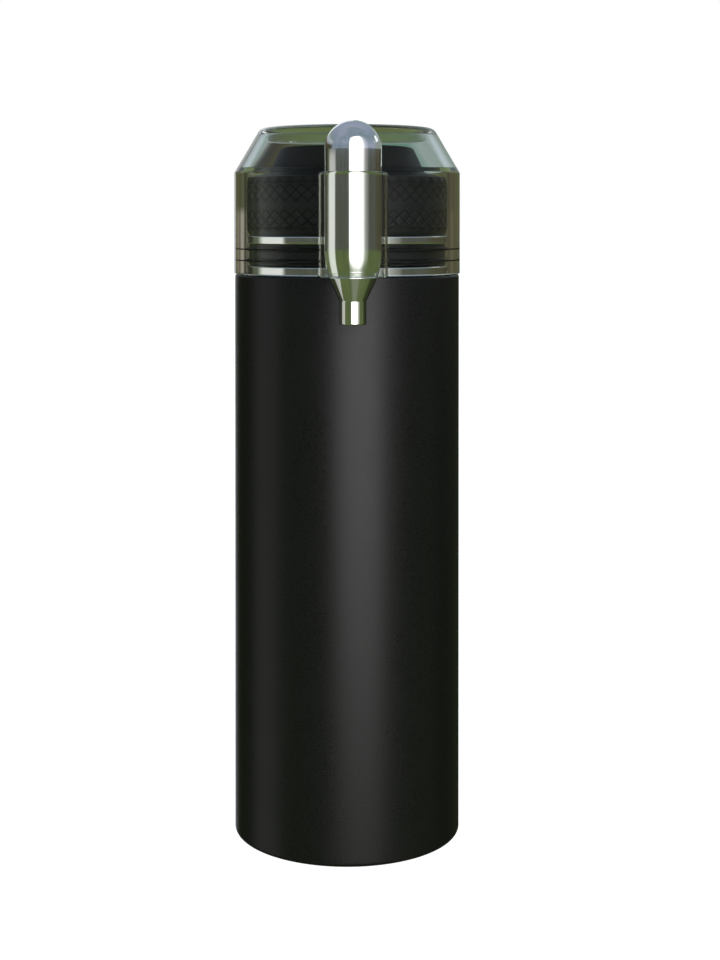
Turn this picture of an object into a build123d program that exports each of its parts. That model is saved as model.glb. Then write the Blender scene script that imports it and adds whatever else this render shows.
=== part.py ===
from build123d import *
import math
import os

# A vacuum flask for fizzy water. Millimetres, +Z up, origin on the flask's axis at its resting plane.
# The gas cartridge stands in front of the flask, towards -Y.

# Driving dimensions
BODY_R = 39.0            # outer radius of the steel flask
SHOULDER_Z = 193.5       # plane where the coated shell ends and the clear cap begins
CAP_TOP_Z = 244.0        # top of the clear cap
CAP_R = 39.3             # outer radius of the clear cap
CAP_WALL = 4.0           # wall of the clear cap
LID_R = 34.9             # outer radius of the screw lid
CARTRIDGE_R = 9.3        # standard 8 g gas cartridge
CARTRIDGE_LENGTH = 65.5
CARTRIDGE_NECK_R = 4.3
CARTRIDGE_Y = -48.6      # the cartridge's axis, in front of the flask
PITCH = 4.0              # lid thread
SHEET = 0.6              # steel sheet of the outer shell
LINER_SHEET = 0.5        # steel sheet of the inner bottle

# Flask
BASE_EDGE_R = 1.8        # rounding of the bottom edge
SHOULDER_EDGE_R = 0.9    # rounding of the shoulder's edge
BASE_LIP_R = 36.0        # inner radius of the resting ring
SHOULDER_HOLE_R = 33.6   # the shell turns in to here and meets the neck
VACUUM_GAP = 2.6         # between the shell and the inner bottle
LINER_R = BODY_R - SHEET - VACUUM_GAP
LINER_BOTTOM_Z = 8.0
LINER_BOTTOM_ROUND = 5.0
GETTER_X = 14.0          # the getter sits off the axis, under the inner bottle
MOUTH_R = 26.0           # inside radius of the mouth
NECK_R = 28.0            # outside of the neck tube, root of its thread
BAND_R = 35.0            # bare steel band under the lid
BAND_H = 3.0
MOUTH_Z = 210.0          # rim of the mouth
THREAD_DEPTH = 1.2
THREAD_ROOT_W = 1.7
THREAD_CREST_W = 0.9
NECK_TURNS = 1.2
LID_TURNS = 1.25
NECK_THREAD_Z = 200.6    # start of the neck's thread, middle of the ridge
THREAD_DROP = 1.4        # the lid's ridge lies this far under the neck's, so their flanks nearly touch

# Lid
COLLAR_BOTTOM_Z = SHOULDER_Z + BAND_H + 0.2
TRIM_Z = 204.0           # bottom of the upper bright band
RIB_ZS = (COLLAR_BOTTOM_Z + 1.6, TRIM_Z - 1.8)  # middles of the collar's two ribs
GRIP_Z = 206.7           # bottom of the grip ring
GRIP_EDGE_Z = 224.0      # the grip ring's wall ends and its faceted chamfer begins
GRIP_TOP_Z = 226.7       # the chamfer ends and a shallow cone runs in to the crown
GRIP_TOP_R = 34.4
CROWN_Z = 228.6          # the crown comes out of the grip ring here
CROWN_TOP_Z = 236.8
CROWN_BASE_R = 27.1
CROWN_TOP_R = 23.2
CORE_R = 33.0            # outer radius of the lid's body
CORE_BORE_R = NECK_R + THREAD_DEPTH + 0.5
CEILING_Z = 212.0        # underside of the lid's ceiling
CEILING_H = 4.0
CORE_WALL_TOP_Z = 222.0
LINER_DISC_R = 25.2
LINER_DISC_Z = 209.0
SCREW_CIRCLE_R = 17.0
SCREW_R = 1.5
SCREW_HEAD_R = 2.9
RELIEF_X = 16.0          # the over-pressure valve stands here, off the axis
RELIEF_TOP_Z = 223.0     # rim of the over-pressure valve's cup
CLEAR = 0.05             # running gap between faces that move on each other

# Gas inlet
INLET_TUBE_R = 5.0
INLET_CHAMBER_R = 3.4
INLET_SEAT_Z = 217.0
INLET_HUB_R = 7.0
INLET_TOP_Z = 229.0
SOCKET_R = 4.8           # takes the neck of a cartridge
PIN_R = 0.9

os.makedirs("parts", exist_ok=True)


def outline(points, rounds=()):
    """A flat face on the XZ plane from (radius, height) points; rounds pairs a point's index and a radius."""
    face = Face(Wire.make_polygon([Vector(r, 0, z) for r, z in points], close=True))
    for index, radius in rounds:
        corner = Vector(points[index][0], 0, points[index][1])
        vertex = min(face.vertices(), key=lambda v: (Vector(v.X, v.Y, v.Z) - corner).length)
        face = face.fillet_2d(radius, [vertex])
    return face


def turned(points, rounds=(), x=0.0, y=0.0):
    """A solid turned about the upright axis through (x, y)."""
    return Pos(x, y, 0) * revolve(outline(points, rounds), Axis.Z)


def rod(radius, low, high, x=0.0, y=0.0):
    """An upright cylinder from height low to height high."""
    return Pos(x, y, low) * Cylinder(radius, high - low, align=(Align.CENTER, Align.CENTER, Align.MIN))


def ring(inner, outer, low, high, x=0.0, y=0.0):
    """An upright plain ring."""
    return rod(outer, low, high, x, y) - rod(inner, low - 1, high + 1, x, y)


def thread_ridge(root_r, crest_r, middle_z, turns):
    """A helical ridge whose root is sunk a little into the wall it stands on."""
    sunk = 0.25 if crest_r > root_r else -0.25
    half_root, half_crest = THREAD_ROOT_W / 2, THREAD_CREST_W / 2
    path = Helix(pitch=PITCH, height=PITCH * turns, radius=root_r)
    start = Plane(origin=path @ 0, x_dir=(1, 0, 0), z_dir=path % 0)
    reach = crest_r - root_r
    section = start * make_face(Polyline(
        (-sunk, -half_root), (reach, -half_crest), (reach, half_crest), (-sunk, half_root), close=True,
    ))
    return Pos(0, 0, middle_z) * sweep(section, path=path, is_frenet=True)


def coil(mean_r, wire_r, low, high, turns, x=0.0, y=0.0):
    """A compression spring between two heights, its wire wholly inside them."""
    path = Helix(pitch=(high - low - 2 * wire_r) / turns, height=high - low - 2 * wire_r, radius=mean_r)
    section = Plane(origin=path @ 0, z_dir=path % 0) * Circle(wire_r)
    return Pos(x, y, low + wire_r) * sweep(section, path=path, is_frenet=True)


def outer_shell():
    """The coated bottle: a straight wall, turned in at the shoulder and at the base."""
    inside = BODY_R - SHEET
    return turned(
        [
            (BASE_LIP_R, 0), (BODY_R, 0), (BODY_R, SHOULDER_Z), (SHOULDER_HOLE_R, SHOULDER_Z),
            (SHOULDER_HOLE_R, SHOULDER_Z - SHEET), (inside, SHOULDER_Z - SHEET), (inside, SHEET),
            (BASE_LIP_R, SHEET),
        ],
        [(1, BASE_EDGE_R), (2, SHOULDER_EDGE_R), (6, BASE_EDGE_R - SHEET)],
    )


def base_plate():
    """The dished end cap inside the shell's bottom lip, with its evacuation hole."""
    rim, well, rise = BODY_R - SHEET - 1.3, 34.0, 2.4
    plate = turned([
        (0, SHEET + rise), (well - 3, SHEET + rise), (well, SHEET), (rim, SHEET), (rim, 2 * SHEET),
        (well + 0.5, 2 * SHEET), (well - 2.5, 2 * SHEET + rise), (0, 2 * SHEET + rise),
    ])
    return plate - rod(1.2, 0, 10)


def vacuum_plug():
    """A bead of sealing glass on the evacuation hole."""
    top = 2 * SHEET + 2.4
    bead = turned([(0, top), (2.6, top), (2.2, top + 0.7), (0, top + 1.1)])
    return bead + rod(1.15, top - SHEET, top + 0.5)


def plug_cover():
    """The thin disc that hides the evacuation hole from below."""
    top = SHEET + 2.4
    return turned([(0, top - 0.6), (9.0, top - 0.6), (9.5, top), (0, top)])


def inner_liner():
    """The inner bottle: domed corners, a straight wall, a shoulder and the neck's inside."""
    out, inn = LINER_R, LINER_R - LINER_SHEET
    neck_out = MOUTH_R + LINER_SHEET
    shoulder_low, shoulder_high = 180.5, 190.0
    bottom = LINER_BOTTOM_Z
    return turned(
        [
            (0, bottom), (out, bottom), (out, shoulder_low), (neck_out, shoulder_high), (neck_out, MOUTH_Z),
            (MOUTH_R, MOUTH_Z), (MOUTH_R, shoulder_high - 0.3), (inn, shoulder_low - 0.3),
            (inn, bottom + LINER_SHEET), (0, bottom + LINER_SHEET),
        ],
        [
            (1, LINER_BOTTOM_ROUND), (2, 6.0), (3, 3.0), (6, 3.6), (7, 5.4),
            (8, LINER_BOTTOM_ROUND - LINER_SHEET),
        ],
    )


def getter_clip():
    """A shallow cup under the inner bottle that holds the getter."""
    top = LINER_BOTTOM_Z
    return turned(
        [(0, top - 2.6), (7.5, top - 2.6), (7.5, top), (7.0, top), (7.0, top - 2.1), (0, top - 2.1)],
        x=GETTER_X,
    )


def getter():
    """The getter pellet in its cup."""
    return rod(5.5, LINER_BOTTOM_Z - 2.1, LINER_BOTTOM_Z - 0.4, x=GETTER_X)


def threaded_neck():
    """The bare steel band, the neck tube and its thread."""
    low, band_top = SHOULDER_Z, SHOULDER_Z + BAND_H
    tube_in = MOUTH_R + LINER_SHEET
    neck = turned(
        [
            (BAND_R - SHEET, low), (BAND_R, low), (BAND_R, band_top), (NECK_R, band_top), (NECK_R, MOUTH_Z),
            (tube_in, MOUTH_Z), (tube_in, band_top - SHEET), (BAND_R - SHEET, band_top - SHEET),
        ],
        [(2, 0.5), (4, 0.5)],
    )
    return neck + thread_ridge(NECK_R, NECK_R + THREAD_DEPTH, NECK_THREAD_Z, NECK_TURNS)


def lid_core():
    """The lid's body: a skirt with the female thread, a ceiling and an upper wall."""
    low, ceiling_top = COLLAR_BOTTOM_Z, CEILING_Z + CEILING_H
    wall_in = CORE_R - 2.0
    body = turned([
        (CORE_BORE_R, low), (CORE_R, low), (CORE_R, CORE_WALL_TOP_Z), (wall_in, CORE_WALL_TOP_Z),
        (wall_in, ceiling_top), (INLET_TUBE_R, ceiling_top), (INLET_TUBE_R, CEILING_Z),
        (CORE_BORE_R, CEILING_Z),
    ])
    body -= rod(2.5, CEILING_Z - 1, ceiling_top + 1, x=RELIEF_X)
    for x, y in screw_places():
        body -= rod(SCREW_R, CEILING_Z - 1, CEILING_Z + 3.2, x, y)
    start_z = NECK_THREAD_Z - 0.6
    ridge = thread_ridge(CORE_BORE_R, CORE_BORE_R - THREAD_DEPTH, start_z, LID_TURNS)
    start_angle = 360.0 * (start_z - NECK_THREAD_Z + THREAD_DROP) / PITCH
    return body + Rot(0, 0, start_angle) * ridge


def screw_places():
    """Centres of the three screws of the drink's side disc."""
    angles = [math.radians(90 + 120 * k) for k in range(3)]
    return [(SCREW_CIRCLE_R * math.cos(a), SCREW_CIRCLE_R * math.sin(a)) for a in angles]


def grip_ring():
    """The ring that a hand turns: a straight wall with two grooves, a chamfer and a shallow top cone."""
    groove = 0.35
    lower_groove, upper_groove = 210.0, GRIP_EDGE_Z
    solid = turned(
        [
            (CORE_R, GRIP_Z), (LID_R - 0.6, GRIP_Z), (LID_R, lower_groove - 0.9), (LID_R, GRIP_EDGE_Z),
            (GRIP_TOP_R, GRIP_TOP_Z), (CROWN_BASE_R, CROWN_Z), (CROWN_BASE_R, CORE_WALL_TOP_Z + 1.4),
            (CORE_R, CORE_WALL_TOP_Z + 1.4),
        ],
        [(1, 0.4), (4, 0.3)],
    )
    for z in (lower_groove, upper_groove - 0.2):
        solid -= ring(LID_R - groove, LID_R + 1, z - groove / 2, z + groove / 2)
    return solid


def crown():
    """The conical top with the socket that takes a cartridge's neck."""
    foot_low, foot_top = CORE_WALL_TOP_Z, CORE_WALL_TOP_Z + 1.4
    wall, roof = 2.3, 2.5
    boss_r = INLET_HUB_R + 0.3
    return turned(
        [
            (CROWN_BASE_R - wall, foot_low), (CORE_R - 0.4, foot_low), (CORE_R - 0.4, foot_top),
            (CROWN_BASE_R, foot_top), (CROWN_BASE_R, CROWN_Z), (CROWN_TOP_R, CROWN_TOP_Z),
            (SOCKET_R + 3.2, CROWN_TOP_Z), (SOCKET_R, CROWN_TOP_Z - 3.6), (SOCKET_R, INLET_TOP_Z),
            (boss_r, INLET_TOP_Z), (boss_r, CROWN_TOP_Z - roof), (CROWN_TOP_R - wall, CROWN_TOP_Z - roof),
            (CROWN_BASE_R - wall, CROWN_Z - 1.2),
        ],
        [(5, 1.2), (4, 0.6)],
    )


def trim_ring():
    """The upper bright band."""
    return turned(
        [(CORE_R, TRIM_Z), (LID_R, TRIM_Z), (LID_R, GRIP_Z), (CORE_R, GRIP_Z)], [(1, 0.35), (2, 0.35)],
    )


def cap_collar():
    """The soft collar; its two ribs run in the bore of the clear cap."""
    wall_r = LID_R - 0.7
    rib_r = CAP_R - CAP_WALL - 2 * CLEAR
    rib_h = 1.5
    points = [(CORE_R, COLLAR_BOTTOM_Z), (wall_r, COLLAR_BOTTOM_Z)]
    for middle in RIB_ZS:
        points += [
            (wall_r, middle - rib_h / 2), (rib_r, middle - rib_h / 4), (rib_r, middle + rib_h / 4),
            (wall_r, middle + rib_h / 2),
        ]
    points += [(wall_r, TRIM_Z), (CORE_R, TRIM_Z)]
    return turned(points)


def lid_gasket():
    """The main gasket between the rim of the mouth and the lid's ceiling."""
    return turned(
        [(LINER_DISC_R + CLEAR, MOUTH_Z + CLEAR), (CORE_BORE_R - 0.3, MOUTH_Z + CLEAR),
         (CORE_BORE_R - 0.3, CEILING_Z - CLEAR), (LINER_DISC_R + CLEAR, CEILING_Z - CLEAR)],
        [(1, 0.4), (2, 0.4)],
    )


def lid_liner():
    """The disc on the drink's side, with holes for the inlet, the relief valve and its screws."""
    disc = turned(
        [(INLET_TUBE_R, LINER_DISC_Z), (LINER_DISC_R, LINER_DISC_Z), (LINER_DISC_R, CEILING_Z),
         (INLET_TUBE_R, CEILING_Z)],
        [(1, 0.8)],
    )
    disc -= rod(1.5, LINER_DISC_Z - 1, CEILING_Z + 1, x=RELIEF_X)
    for x, y in screw_places():
        disc -= rod(SCREW_R, LINER_DISC_Z - 1, CEILING_Z + 1, x, y)
        disc -= rod(SCREW_HEAD_R, LINER_DISC_Z - 1, LINER_DISC_Z + 1.5, x, y)
    return disc


def liner_screws():
    """Three pan-head screws with a cross recess, heads down."""
    screws = []
    for x, y in screw_places():
        head_low, head_top = LINER_DISC_Z + 0.1, LINER_DISC_Z + 1.5
        screw = rod(SCREW_HEAD_R - 0.1, head_low, head_top, x, y)
        screw += rod(SCREW_R - 0.02, head_top - 0.1, CEILING_Z + 3.0, x, y)
        for turn in (0, 90):
            screw -= Pos(x, y, head_low) * Rot(0, 0, turn) * Box(3.0, 0.7, 1.2)
        screws.append(screw)
    return Compound(children=screws)


def inlet_body():
    """The brass turret: valve chamber below, seat for the cartridge's neck above."""
    flange_low, flange_r = CEILING_Z + CEILING_H, 9.0
    flange_top = flange_low + 2.0
    recess_z = INLET_TOP_Z - 3.5
    turret = turned([
        (PIN_R, INLET_SEAT_Z + 1.6), (INLET_CHAMBER_R - 1.6, INLET_SEAT_Z + 1.6),
        (INLET_CHAMBER_R, INLET_SEAT_Z), (INLET_CHAMBER_R, LINER_DISC_Z), (INLET_TUBE_R, LINER_DISC_Z),
        (INLET_TUBE_R, flange_low), (flange_r, flange_low), (flange_r, flange_top), (INLET_HUB_R, flange_top),
        (INLET_HUB_R, INLET_TOP_Z), (SOCKET_R, INLET_TOP_Z), (SOCKET_R, recess_z), (PIN_R, recess_z),
    ])
    return turret - ring(7.2, 8.8, flange_low - 1, flange_low + 1.2)


def inlet_seal():
    """The ring under the turret's flange."""
    return ring(7.25, 8.75, CEILING_Z + CEILING_H, CEILING_Z + CEILING_H + 1.15)


def piercing_pin():
    """A hollow pin with a slanted tip."""
    pin = ring(0.35, PIN_R - 0.01, INLET_SEAT_Z + 1.8, INLET_TOP_Z + 0.4)
    return pin - Pos(0, 0, INLET_TOP_Z + 0.6) * Rot(40, 0, 0) * Box(6, 6, 1.4)


def inlet_gasket():
    """The ring that seals on the cartridge's neck."""
    low = INLET_TOP_Z - 3.5
    return ring(PIN_R + 0.7, SOCKET_R - 0.05, low, low + 1.5)


def spring_retainer():
    """The perforated disc at the bottom of the valve chamber."""
    disc = ring(1.1, INLET_CHAMBER_R - 0.02, LINER_DISC_Z + 0.6, LINER_DISC_Z + 2.0)
    for k in range(4):
        a = math.radians(45 + 90 * k)
        disc -= rod(0.5, LINER_DISC_Z, LINER_DISC_Z + 3, 2.25 * math.cos(a), 2.25 * math.sin(a))
    return disc


def inlet_poppet():
    """The check valve: a cone that closes on the seat, with a guide stem."""
    top = INLET_SEAT_Z + 1.2 - CLEAR
    return turned([
        (0, LINER_DISC_Z + 1.9), (0.95, LINER_DISC_Z + 1.9), (0.95, top - 3.0), (2.75, top - 3.0),
        (2.75, top - 0.9), (1.9, top), (0, top),
    ])


def inlet_spring():
    """The spring under the poppet."""
    return coil(1.9, 0.3, LINER_DISC_Z + 2.0, INLET_SEAT_Z - 1.8 - CLEAR, 5.5)


def relief_body():
    """The over-pressure valve's cup, with its tube through the ceiling."""
    low, flange = CEILING_Z, CEILING_Z + CEILING_H
    return turned(
        [(1.2, low), (2.48, low), (2.48, flange), (4.5, flange), (4.5, RELIEF_TOP_Z), (3.4, RELIEF_TOP_Z),
         (3.4, flange + 1.5), (1.2, flange + 1.5)],
        x=RELIEF_X,
    )


def relief_plunger():
    """The over-pressure valve's plunger and stem."""
    seat = CEILING_Z + CEILING_H + 1.5 + 0.02
    return turned([(0, seat), (2.6, seat), (2.6, seat + 1.2), (0.9, seat + 1.2), (0.9, 224.4), (0, 224.4)],
                  x=RELIEF_X)


def relief_spring():
    """The spring on the plunger."""
    low = CEILING_Z + CEILING_H + 1.5 + 0.02 + 1.2
    return coil(1.9, 0.3, low, RELIEF_TOP_Z - 1.0, 3.5, x=RELIEF_X)


def relief_cap():
    """The ring screwed into the cup, over the spring."""
    return ring(0.98, 3.38, RELIEF_TOP_Z - 1.0, RELIEF_TOP_Z - 0.1, x=RELIEF_X)


def clear_cap():
    """The thick clear over-cap, with the cartridge's sleeve in the same moulding."""
    low = SHOULDER_Z + 2 * CLEAR
    edge_z, top_r = 228.5, 30.2
    slope = (CAP_R - top_r) / (CAP_TOP_Z - edge_z - 0.7)
    bore_r = CAP_R - CAP_WALL
    roof_z = CAP_TOP_Z - CAP_WALL + 0.3
    inner_edge_z = edge_z + 0.3
    inner_top_r = bore_r - slope * (roof_z - inner_edge_z)
    outside = turned(
        [(0, low), (CAP_R, low), (CAP_R, edge_z), (top_r, CAP_TOP_Z), (0, CAP_TOP_Z)], [(2, 2.0), (3, 3.0)],
    )
    sleeve_r, sleeve_bore_r, sleeve_top = 11.35, CARTRIDGE_R + 1.1, 227.5
    sleeve = turned(
        [(0, low), (sleeve_r, low), (sleeve_r, sleeve_top), (0, sleeve_top)], [(1, 0.8), (2, 1.2)],
        y=CARTRIDGE_Y,
    )
    hollow = turned(
        [(0, low - 1), (bore_r, low - 1), (bore_r, inner_edge_z), (inner_top_r, roof_z), (0, roof_z)],
        [(2, 1.5), (3, 1.5)],
    )
    # The cartridge's shoulder rests just above this narrow lip.
    lip_r, lip_z = 8.12, low + 0.5
    bore = turned(
        [(0, low - 1), (lip_r, low - 1), (lip_r, lip_z), (sleeve_bore_r, lip_z + 0.15),
         (sleeve_bore_r, CAP_TOP_Z), (0, CAP_TOP_Z)],
        y=CARTRIDGE_Y,
    )
    cap = outside + sleeve - hollow - bore
    # The collar's ribs snap into these grooves when the cap is down.
    for middle in RIB_ZS:
        cap -= ring(bore_r - 2, bore_r + 0.45, middle - 0.4, middle + 0.4)
    return cap


def cartridge_outline(offset):
    """The cartridge's outer points, drawn in by offset, with its axis as the first and last edge."""
    radius, top = CARTRIDGE_R - offset, CAP_TOP_Z
    straight_top, shoulder_z = top - CARTRIDGE_R, 202.7
    cone_z, cone_r = SHOULDER_Z, 7.8 - offset
    neck_z, neck_r = 186.1, CARTRIDGE_NECK_R - offset
    sag_z = (shoulder_z + cone_z) / 2
    arc_r = 29.0
    sag_r = radius - arc_r + math.sqrt(arc_r ** 2 - (shoulder_z - sag_z) ** 2)
    half = radius * math.sin(math.pi / 4)
    return (
        ThreePointArc((0, top - offset), (half, straight_top + half), (radius, straight_top))
        + Line((radius, straight_top), (radius, shoulder_z))
        + ThreePointArc((radius, shoulder_z), (sag_r, sag_z), (cone_r, cone_z))
        + Line((cone_r, cone_z), (neck_r, neck_z))
    ), neck_r, neck_z


def cartridge_solid(offset, bottom):
    """The turned cartridge shape, drawn in by offset and closed at height bottom."""
    curve, neck_r, neck_z = cartridge_outline(offset)
    curve += Line((neck_r, neck_z), (neck_r, bottom)) + Line((neck_r, bottom), (0, bottom))
    curve += Line((0, bottom), (0, CAP_TOP_Z - offset))
    return Pos(0, CARTRIDGE_Y, 0) * revolve(Plane.XZ * make_face(curve), Axis.Z)


def cartridge_shell():
    """The drawn steel cartridge, hollow, open only at its neck."""
    bottom = CAP_TOP_Z - CARTRIDGE_LENGTH
    shell = cartridge_solid(0, bottom) - cartridge_solid(1.0, bottom + 2.0)
    return shell - rod(2.6, bottom - 1, bottom + 3, y=CARTRIDGE_Y)


def cartridge_seal():
    """The thin disc that closes the neck and is pierced in use."""
    bottom = CAP_TOP_Z - CARTRIDGE_LENGTH
    return rod(2.58, bottom + 0.5, bottom + 1.3, y=CARTRIDGE_Y)


MAKERS = (
    outer_shell, base_plate, vacuum_plug, plug_cover, inner_liner, getter_clip, getter, threaded_neck,
    lid_gasket, lid_core, grip_ring, crown, trim_ring, cap_collar, lid_liner, liner_screws, inlet_body,
    inlet_seal, piercing_pin, inlet_gasket, spring_retainer, inlet_poppet, inlet_spring, relief_body,
    relief_plunger, relief_spring, relief_cap, clear_cap, cartridge_shell, cartridge_seal,
)

for maker in MAKERS:
    export_step(maker(), f"parts/{maker.__name__}.step")
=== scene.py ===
"""A vacuum flask for fizzy water: the looks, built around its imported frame.

The frame gives every place and size. Visible metal, plastic and clear pieces are surfaces worked out here,
and the pieces inside keep their own meshes and get a finish. Lengths in this file are millimetres unless
a name says otherwise; meshes are written in metres.
"""

import logging
import math
from dataclasses import dataclass
from enum import Enum
from typing import Any

import bmesh
import bpy
import numpy as np
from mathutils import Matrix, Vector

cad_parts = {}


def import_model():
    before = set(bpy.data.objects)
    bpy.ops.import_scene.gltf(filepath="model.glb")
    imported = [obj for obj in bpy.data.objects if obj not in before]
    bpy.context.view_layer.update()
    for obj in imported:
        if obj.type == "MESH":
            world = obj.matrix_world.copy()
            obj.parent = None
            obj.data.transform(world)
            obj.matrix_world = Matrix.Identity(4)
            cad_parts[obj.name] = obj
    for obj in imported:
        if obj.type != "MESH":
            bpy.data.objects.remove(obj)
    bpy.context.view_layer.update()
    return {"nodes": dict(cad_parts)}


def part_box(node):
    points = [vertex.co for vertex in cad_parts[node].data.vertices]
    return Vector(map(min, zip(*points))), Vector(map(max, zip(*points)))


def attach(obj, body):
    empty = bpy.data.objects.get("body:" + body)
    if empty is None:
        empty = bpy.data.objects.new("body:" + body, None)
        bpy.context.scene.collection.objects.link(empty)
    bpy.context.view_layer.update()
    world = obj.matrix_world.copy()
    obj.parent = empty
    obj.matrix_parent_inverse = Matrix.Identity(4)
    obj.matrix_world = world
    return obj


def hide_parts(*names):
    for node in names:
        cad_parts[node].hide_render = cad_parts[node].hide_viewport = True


MM = 0.001
# The grip's attribute of engraved lines and one set of chamfer facets, which its material dulls and darkens
# with painted shade.
DULL_AND_SHADE = "engraved"
log = logging.getLogger("flask")


# ---------------------------------------------------------------- small tools


def linear(hex_colour: str) -> tuple[float, float, float, float]:
    """Turns an sRGB hex colour into the linear colour a shader socket takes.

    Args:
        hex_colour: a colour such as "#1b1c1d".

    Returns:
        Linear red, green and blue, and 1.
    """
    parts = [int(hex_colour[i : i + 2], 16) / 255 for i in (1, 3, 5)]
    red, green, blue = (p / 12.92 if p <= 0.04045 else ((p + 0.055) / 1.055) ** 2.4 for p in parts)
    return red, green, blue, 1.0


def add_node(
    tree: bpy.types.NodeTree, kind: str, inputs: dict | None = None, **settings: Any
) -> bpy.types.Node:
    """Adds one shader node.

    Args:
        tree: the node tree it goes in.
        kind: the node's type name, without "ShaderNode".
        inputs: an input's name or index to a plain value, or to an output socket that it is linked from.
        settings: the node's own properties.

    Returns:
        The new node.
    """
    node = tree.nodes.new("ShaderNode" + kind)
    for name, value in settings.items():
        setattr(node, name, value)
    for key, value in (inputs or {}).items():
        if isinstance(value, bpy.types.NodeSocket):
            tree.links.new(value, node.inputs[key])
        else:
            node.inputs[key].default_value = value
    return node


def span(node: str) -> tuple[np.ndarray, np.ndarray]:
    """Lowest and highest corner of a CAD node at rest, in millimetres."""
    low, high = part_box(node)
    return np.array(low) / MM, np.array(high) / MM


Stops = tuple[tuple[float, float | str], ...]


def stepped(tree: bpy.types.NodeTree, value: bpy.types.NodeSocket, stops: Stops) -> bpy.types.NodeSocket:
    """Reads a share or a colour from straight runs between stops.

    Args:
        tree: the tree it goes in.
        value: where to read.
        stops: places from 0 to 1, with the share or the hex colour at each.

    Returns:
        The share, or the colour.
    """
    ramp = add_node(tree, "ValToRGB", {0: value})
    elements = ramp.color_ramp.elements
    elements.remove(elements[1])
    for index, (position, stop) in enumerate(stops):
        element = elements[0] if index == 0 else elements.new(position)
        element.position = position
        element.color = linear(stop) if isinstance(stop, str) else (stop, stop, stop, 1.0)
    return ramp.outputs[0]


def ranged(
    tree: bpy.types.NodeTree, value: bpy.types.NodeSocket, low: float, high: float
) -> bpy.types.NodeSocket:
    """Turns a value into a share: 0 at low, 1 at high, straight between them and flat beyond.

    Args:
        tree: the tree it goes in.
        value: the value.
        low: where the share is 0.
        high: where it is 1.

    Returns:
        The share.
    """
    return add_node(tree, "MapRange", {"Value": value, "From Min": low, "From Max": high}).outputs["Result"]


def reckon(tree: bpy.types.NodeTree, operation: str, one: Any, two: Any) -> bpy.types.NodeSocket:
    """Works out one sum of two values.

    Args:
        tree: the tree it goes in.
        operation: ADD, SUBTRACT, MULTIPLY or MAXIMUM.
        one: the first value, a number or a socket.
        two: the second value, likewise.

    Returns:
        The answer.
    """
    return add_node(tree, "Math", {0: one, 1: two}, operation=operation).outputs[0]


def blend(tree: bpy.types.NodeTree, share: bpy.types.NodeSocket, low: Any, high: Any) -> bpy.types.NodeSocket:
    """Blends two colours.

    Args:
        tree: the tree it goes in.
        share: how much of high there is, 0 to 1.
        low: a hex colour or a socket.
        high: a hex colour or a socket.

    Returns:
        The blended colour.
    """
    low, high = (linear(colour) if isinstance(colour, str) else colour for colour in (low, high))
    return add_node(tree, "MixRGB", {0: share, 1: low, 2: high}).outputs[0]


# ---------------------------------------------------------------- outlines and surfaces


@dataclass(frozen=True)
class Corner:
    """A corner of a turned outline: its radius and height, and the radius that rounds it."""

    radius: float
    height: float
    rounding: float = 0.2


def rounded(corners: list[Corner], closed: bool = True, steps: int = 8, support: float = 0.35) -> np.ndarray:
    """Rounds an outline's corners with arcs and keeps its straight runs flat.

    Each corner is replaced by the arc that touches both its sides. A point stands a little way along each
    straight side, so that smooth shading doesn't spread from an arc over a long flat.

    Args:
        corners: the corners in order.
        closed: False if the first and last corners lie on the axis.
        steps: chords in each arc.
        support: distance of that point from the arc.

    Returns:
        The outline as rows of radius and height.
    """
    points = np.array([(c.radius, c.height) for c in corners], float)
    rows: list[np.ndarray] = []
    count = len(corners)
    for index, corner in enumerate(corners):
        here = points[index]
        if not closed and index in (0, count - 1):
            rows.append(here[None])
            continue
        sides = [points[index - 1] - here, points[(index + 1) % count] - here]
        lengths = [float(np.linalg.norm(side)) for side in sides]
        to_last, to_next = sides[0] / lengths[0], sides[1] / lengths[1]
        half = math.acos(float(np.clip(to_last @ to_next, -1, 1))) / 2
        cut = min(corner.rounding / math.tan(half), 0.46 * min(lengths))
        radius = cut * math.tan(half)
        middle = to_last + to_next
        centre = here + middle / np.linalg.norm(middle) * radius / math.sin(half)
        start, end = here + to_last * cut - centre, here + to_next * cut - centre
        share = np.linspace(0, 1, steps + 1)[:, None]
        sweep = math.pi - 2 * half
        arc = (np.sin((1 - share) * sweep) * start + np.sin(share * sweep) * end) / math.sin(sweep) + centre
        extra = [min(support, 0.3 * max(length - cut, 0.0)) for length in lengths]
        rows += [arc[:1] + to_last * extra[0], arc, arc[-1:] + to_next * extra[1]]
    return np.concatenate(rows)


def arc_between(start: tuple[float, float], end: tuple[float, float], bulge: float, steps: int) -> np.ndarray:
    """Points on the circular arc from start to end whose middle stands bulge to the right of the chord.

    Args:
        start: radius and height of the first point.
        end: radius and height of the last point.
        bulge: height of the arc over its chord.
        steps: chords in the arc.

    Returns:
        The arc as rows of radius and height, without its last point.
    """
    a, b = np.array(start, float), np.array(end, float)
    chord = b - a
    length = np.linalg.norm(chord)
    right = np.array([chord[1], -chord[0]]) / length
    radius = (length**2 / 4 + bulge**2) / (2 * bulge)
    centre = (a + b) / 2 + right * (bulge - radius)
    first = math.atan2(*(a - centre)[::-1])
    last = math.atan2(*(b - centre)[::-1])
    angle = first + (last - first) * np.linspace(0, 1, steps + 1)[:-1]
    return centre + radius * np.stack([np.cos(angle), np.sin(angle)], 1)


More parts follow.
